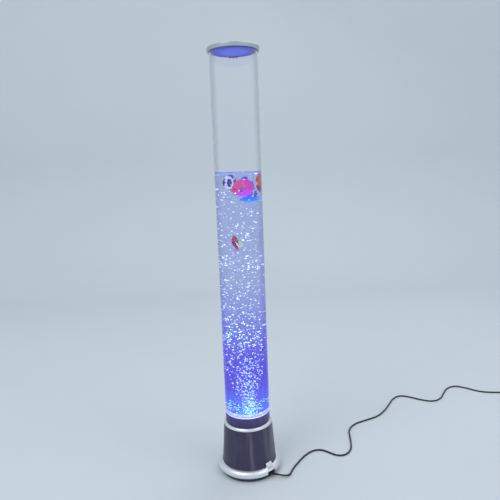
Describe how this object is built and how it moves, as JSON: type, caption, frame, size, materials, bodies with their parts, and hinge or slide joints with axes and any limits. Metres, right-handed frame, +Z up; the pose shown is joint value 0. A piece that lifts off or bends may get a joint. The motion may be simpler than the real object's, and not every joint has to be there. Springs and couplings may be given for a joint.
{
  "type": "bubble fish lamp",
  "caption": "Tall clear tube of water with floating plastic fish on a lit silver base; an air pump in the base sends bubbles up the tube.",
  "frame": {"origin": "bottom centre of the lamp's foot, on the surface that it stands on", "axes": "+Z is up along the tube, -Y is the front that faces the viewer, +X is to the viewer's right"},
  "size_m": [0.9111, 0.4349, 0.926],
  "materials": {
    "satin_silver": "satin silver paint over moulded plastic",
    "base_plate_grey": "moulded grey plastic",
    "foot_rubber": "soft black rubber",
    "zinc_steel": "zinc-plated steel",
    "bright_metal": "bright plated metal",
    "clear_acrylic": "clear polished acrylic",
    "white_plastic": "white moulded plastic",
    "black_plastic": "black moulded plastic",
    "green_board": "green solder-masked board",
    "ferrite": "dark sintered or laminated iron",
    "copper_winding": "enamelled copper wire, wound",
    "clear_silicone": "clear soft silicone",
    "striped_blue": "moulded plastic, painted blue with pale bars",
    "pink": "moulded plastic, pink fading to violet",
    "azure": "moulded plastic, bright blue",
    "orange": "moulded plastic, orange fading to yellow",
    "crimson": "moulded plastic, dark red fading to green"
  },
  "bodies": {
    "lamp": {"adaptor_body": "black_plastic", "adaptor_pin_1": "bright_metal", "adaptor_pin_2": "bright_metal", "air_hose": "clear_silicone", "air_hose_upper": "clear_silicone", "air_nozzle": "white_plastic", "base_plate": "base_plate_grey", "base_shell": "satin_silver", "bellows": "foot_rubber", "board_screw_1": "zinc_steel", "board_screw_2": "zinc_steel", "bubble_disc": "white_plastic", "button_spring": "bright_metal", "check_valve": "white_plastic", "coil_core": "ferrite", "coil_tie": "foot_rubber", "coil_winding": "copper_winding", "control_board": "green_board", "cord": "black_plastic", "cord_coil": "black_plastic", "cord_gland": "foot_rubber", "cord_tail": "black_plastic", "floor_seal": "foot_rubber", "foot_ring": "satin_silver", "led_1": "clear_acrylic", "led_2": "clear_acrylic", "led_3": "clear_acrylic", "led_4": "clear_acrylic", "light_board": "green_board", "light_lead": "black_plastic", "light_tray": "white_plastic", "nozzle_nut": "white_plastic", "plate_screw_1": "zinc_steel", "plate_screw_2": "zinc_steel", "plate_screw_3": "zinc_steel", "plate_screw_4": "zinc_steel", "pump_frame": "base_plate_grey", "pump_lead": "black_plastic", "rubber_foot_1": "foot_rubber", "rubber_foot_2": "foot_rubber", "rubber_foot_3": "foot_rubber", "rubber_foot_4": "foot_rubber", "supply_lead": "black_plastic", "switch_body": "black_plastic", "switch_ring": "bright_metal", "tray_screw_1": "zinc_steel", "tray_screw_2": "zinc_steel", "tray_screw_3": "zinc_steel", "tube": "clear_acrylic", "tube_floor": "clear_acrylic", "valve_chamber": "base_plate_grey"},
    "cap": {"top_cap": "satin_silver"},
    "button": {"power_button": "black_plastic"},
    "pump_arm": {"swing_arm": "zinc_steel", "arm_magnet": "ferrite"},
    "striped_swimmer": {"striped_fish": "striped_blue"},
    "pink_swimmer": {"pink_fish": "pink"},
    "azure_swimmer": {"azure_fish": "azure"},
    "orange_swimmer": {"orange_fish": "orange"},
    "crimson_swimmer": {"crimson_fish": "crimson"}
  },
  "joints": [
    {"name": "cap_lift", "type": "slide", "parent": "lamp", "child": "cap", "axis": [0, 0, 1], "range_m": [0, 0.06]},
    {"name": "power_button_press", "type": "slide", "parent": "lamp", "child": "button", "axis": [0, -1, 0], "range_m": [0, 0.002], "stiffness_N_per_m": 300, "deforming": ["button_spring"]},
    {"name": "pump_arm_swing", "type": "hinge", "parent": "lamp", "child": "pump_arm", "pos_m": [-0.024, 0.018, 0.019], "axis": [0, 0, 1], "range_deg": [-2, 2], "stiffness_Nm_per_rad": 0.05, "deforming": ["bellows"]},
    {"name": "striped_fish_rise", "type": "slide", "parent": "lamp", "child": "striped_swimmer", "axis": [0, 0, 1], "range_m": [-0.48, 0]},
    {"name": "pink_fish_rise", "type": "slide", "parent": "lamp", "child": "pink_swimmer", "axis": [0, 0, 1], "range_m": [-0.463, 0]},
    {"name": "azure_fish_rise", "type": "slide", "parent": "lamp", "child": "azure_swimmer", "axis": [0, 0, 1], "range_m": [-0.448, 0.03]},
    {"name": "orange_fish_rise", "type": "slide", "parent": "lamp", "child": "orange_swimmer", "axis": [0, 0, 1], "range_m": [-0.478, 0]},
    {"name": "crimson_fish_rise", "type": "slide", "parent": "lamp", "child": "crimson_swimmer", "axis": [0, 0, 1], "range_m": [-0.347, 0.12]}
  ]
}
